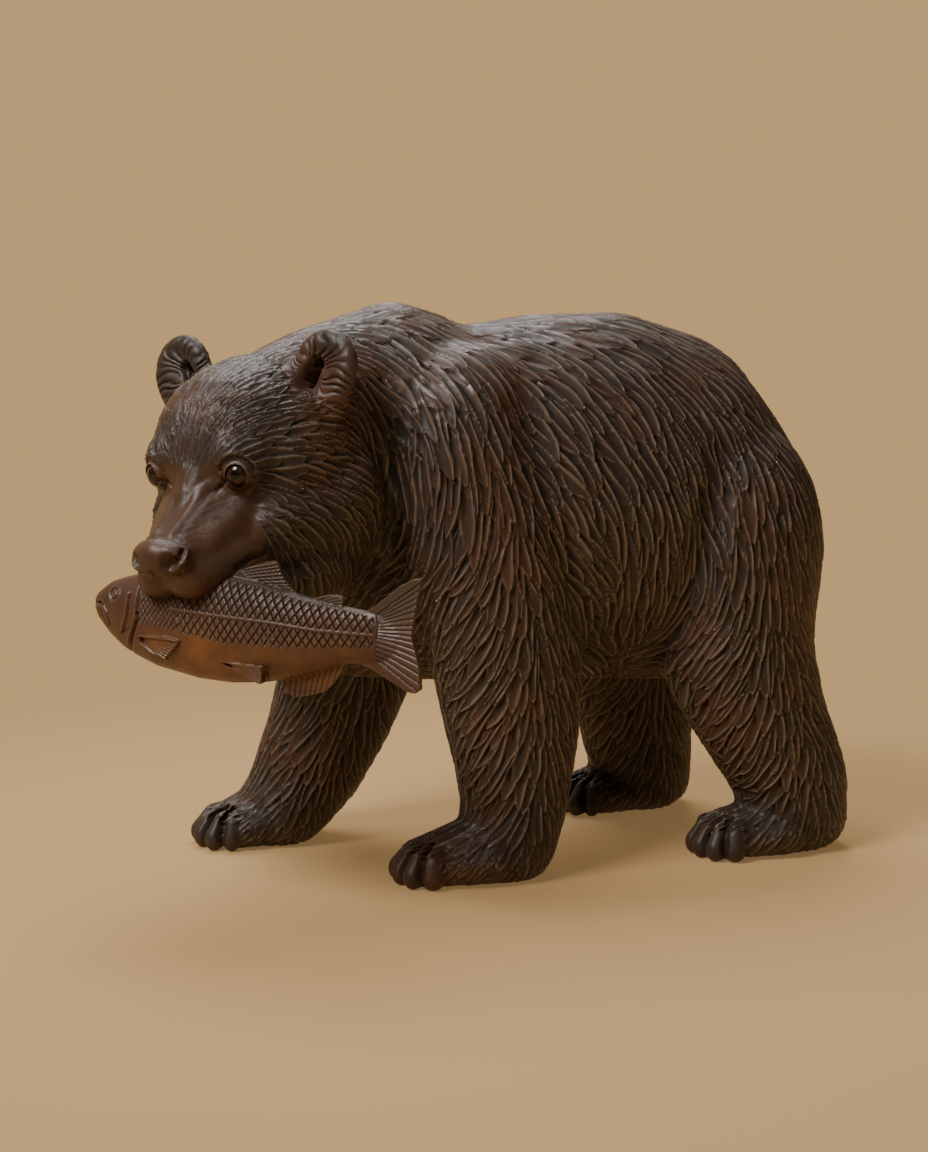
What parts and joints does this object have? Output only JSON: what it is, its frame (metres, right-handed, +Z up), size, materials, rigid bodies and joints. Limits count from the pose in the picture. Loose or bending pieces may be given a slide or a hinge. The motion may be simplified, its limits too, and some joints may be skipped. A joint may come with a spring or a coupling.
{
  "type": "bear carving",
  "caption": "Carved dark wood bear walking with its head turned and a salmon held crosswise in its jaws, fur cut in gouge strokes, standing on flat paw soles.",
  "frame": {"origin": "the middle of the figure's box on the ground it stands on", "axes": "+Z up, the bear walks towards -Y, its left side is +X"},
  "size_m": [0.2468, 0.416, 0.3034],
  "materials": {
    "bear_wood": "dark stained carved hardwood, waxed, satin on the ridges",
    "salmon_wood": "red-brown stained carved wood, waxed",
    "eye_gloss": "polished dark brown inset eyes"
  },
  "bodies": {
    "root": {"bear": "bear_wood", "salmon": "salmon_wood", "eye_left": "eye_gloss", "eye_right": "eye_gloss"}
  },
  "joints": []
}
